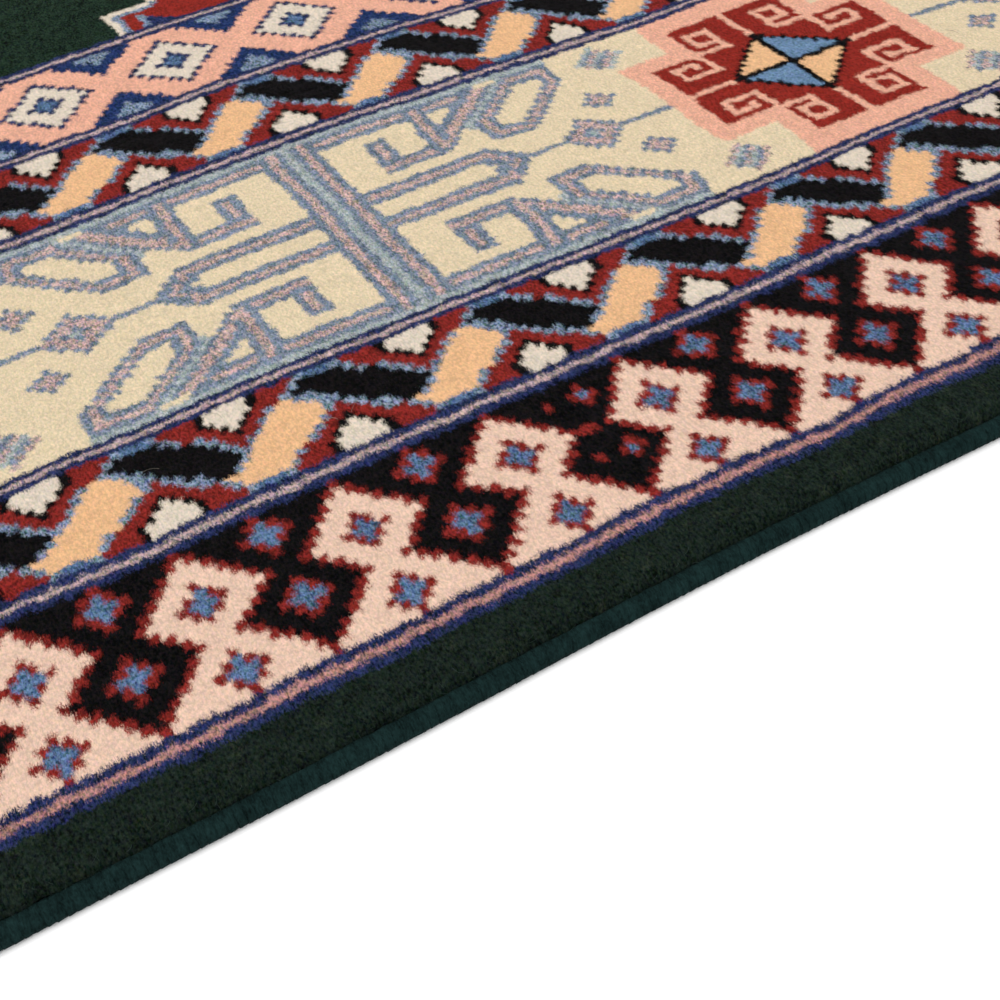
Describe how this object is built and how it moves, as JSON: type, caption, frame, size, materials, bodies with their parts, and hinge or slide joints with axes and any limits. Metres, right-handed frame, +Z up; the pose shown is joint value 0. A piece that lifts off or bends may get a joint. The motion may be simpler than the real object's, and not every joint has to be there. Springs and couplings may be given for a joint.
{
  "type": "persian runner rug, cut length",
  "caption": "Flat hand-knotted runner rug, cut across its length, with short wool pile in banded borders and an overcast cord along each long edge.",
  "frame": {"origin": "centre of the underside, on the floor", "axes": "+X across the runner towards its right-hand edge cord, +Y along the runner, +Z up out of the pile"},
  "size_m": [0.8024, 1, 0.0087],
  "materials": {
    "pile": "short cut wool pile, matt with a soft sheen",
    "edge_cord": "wrapped wool yarn, matt"
  },
  "bodies": {
    "root": {"rug_body": "pile", "selvage_left": "edge_cord", "selvage_right": "edge_cord"}
  },
  "joints": []
}
